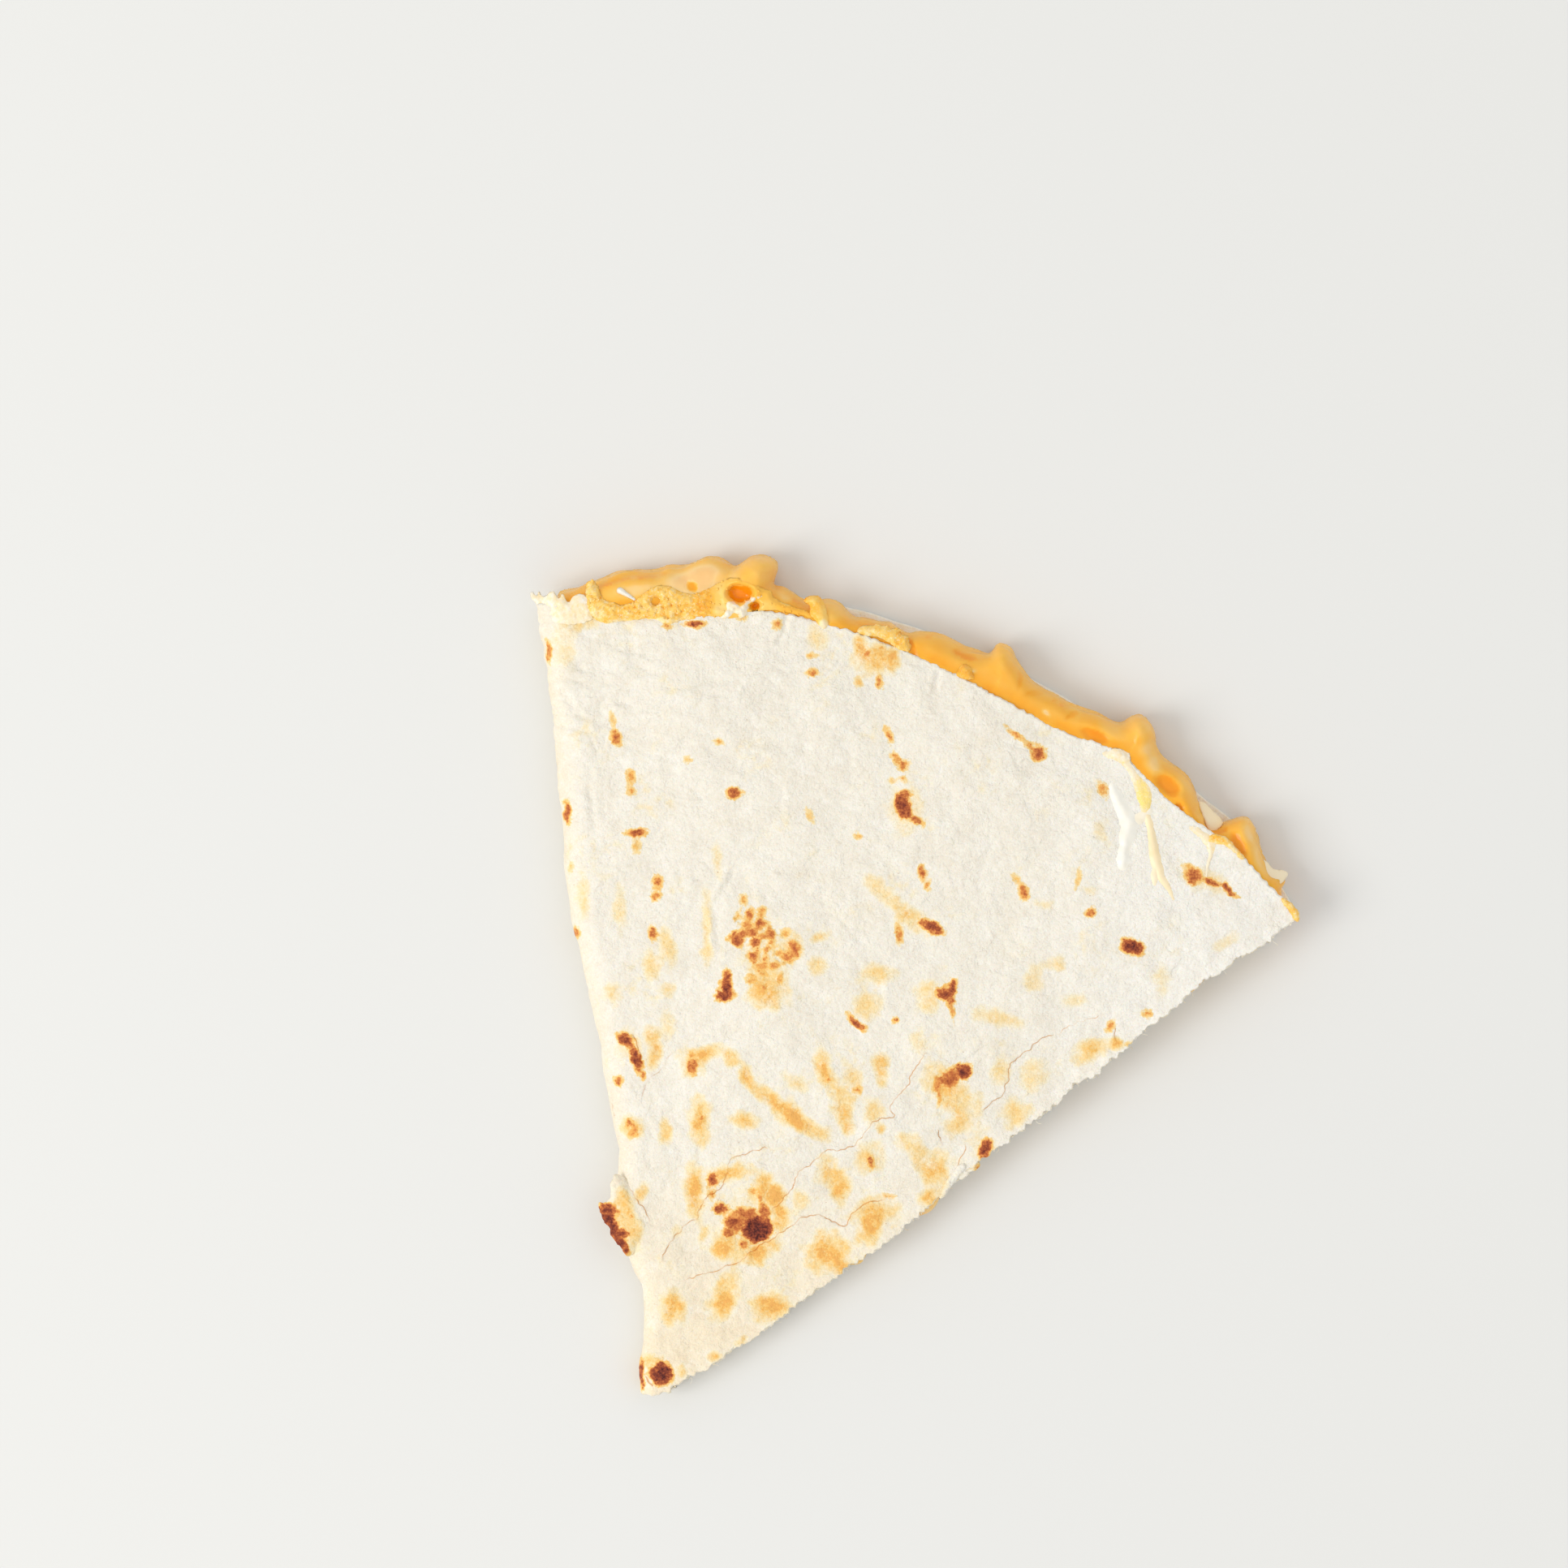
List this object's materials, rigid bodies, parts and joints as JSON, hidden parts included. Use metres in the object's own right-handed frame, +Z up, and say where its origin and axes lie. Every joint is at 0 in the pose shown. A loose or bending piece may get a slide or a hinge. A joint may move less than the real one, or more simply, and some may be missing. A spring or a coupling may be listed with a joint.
{
  "type": "quesadilla wedge",
  "caption": "Wedge of a folded wheat tortilla with melted cheese between its leaves and running out along the rim.",
  "frame": {"origin": "middle of the wedge's bounding box in X and Y, on the surface that it lies on", "axes": "+Y from the tip towards the rim, +X from the fold towards the cut side, +Z up out of the top leaf"},
  "size_m": [0.1224, 0.133, 0.0115],
  "materials": {
    "tortilla": null,
    "melted_cheese": null,
    "cheese_crust": null,
    "cheese_strand": null
  },
  "bodies": {
    "root": {"tortilla": "tortilla", "cheese_filling": "melted_cheese", "cheese_crust": "cheese_crust", "cheese_shred_rim": "cheese_strand", "cheese_strand_pale": "cheese_strand", "cheese_strand_gold": "cheese_strand"}
  },
  "joints": []
}
